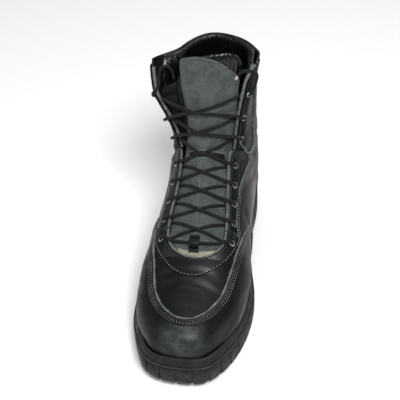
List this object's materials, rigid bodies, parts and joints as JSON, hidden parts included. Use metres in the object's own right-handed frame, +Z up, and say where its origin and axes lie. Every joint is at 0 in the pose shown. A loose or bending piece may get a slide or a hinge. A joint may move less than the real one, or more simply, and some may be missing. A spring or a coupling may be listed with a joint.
{
  "type": "tactical boot",
  "caption": "Right-foot black leather boot with a laced throat, a wide suede tongue, a padded open collar and a thick lugged rubber sole, standing empty.",
  "frame": {"origin": "centre of the boot's bounding box, on the floor that the sole stands on", "axes": "+Z up, +Y from the toe towards the heel, +X towards the medial side of a right foot"},
  "size_m": [0.1197, 0.308, 0.249],
  "materials": {
    "black_leather": "worn, semi-gloss",
    "grey_suede": "matt suede",
    "black_rubber": "dusty, matt",
    "black_lining": "satin",
    "black_cord": "matt",
    "worn_metal": "worn"
  },
  "bodies": {
    "root": {"upper": "black_leather", "throat_saddle": "black_leather", "apron_seam": "black_leather", "facing_lateral": "black_leather", "facing_medial": "black_leather", "shaft_facing_lateral": "black_leather", "shaft_facing_medial": "black_leather", "lace_keeper": "black_leather", "tongue": "grey_suede", "outsole": "black_rubber", "midsole": "black_rubber", "insole": "black_lining", "tongue_lining": "black_lining", "gusset": "black_lining", "collar_lining": "black_lining", "lace_bar": "black_cord", "lace_crossing_1": "black_cord", "lace_crossing_2": "black_cord", "lace_crossing_3": "black_cord", "lace_crossing_4": "black_cord", "lace_crossing_5": "black_cord", "lace_crossing_6": "black_cord", "lace_crossing_7": "black_cord", "lace_end_lateral": "black_cord", "lace_end_medial": "black_cord", "eyelet_lateral_1": "worn_metal", "eyelet_lateral_2": "worn_metal", "eyelet_lateral_3": "worn_metal", "eyelet_lateral_4": "worn_metal", "eyelet_lateral_5": "worn_metal", "eyelet_lateral_6": "worn_metal", "eyelet_lateral_7": "worn_metal", "eyelet_lateral_8": "worn_metal", "eyelet_medial_1": "worn_metal", "eyelet_medial_2": "worn_metal", "eyelet_medial_3": "worn_metal", "eyelet_medial_4": "worn_metal", "eyelet_medial_5": "worn_metal", "eyelet_medial_6": "worn_metal", "eyelet_medial_7": "worn_metal", "eyelet_medial_8": "worn_metal"}
  },
  "joints": []
}
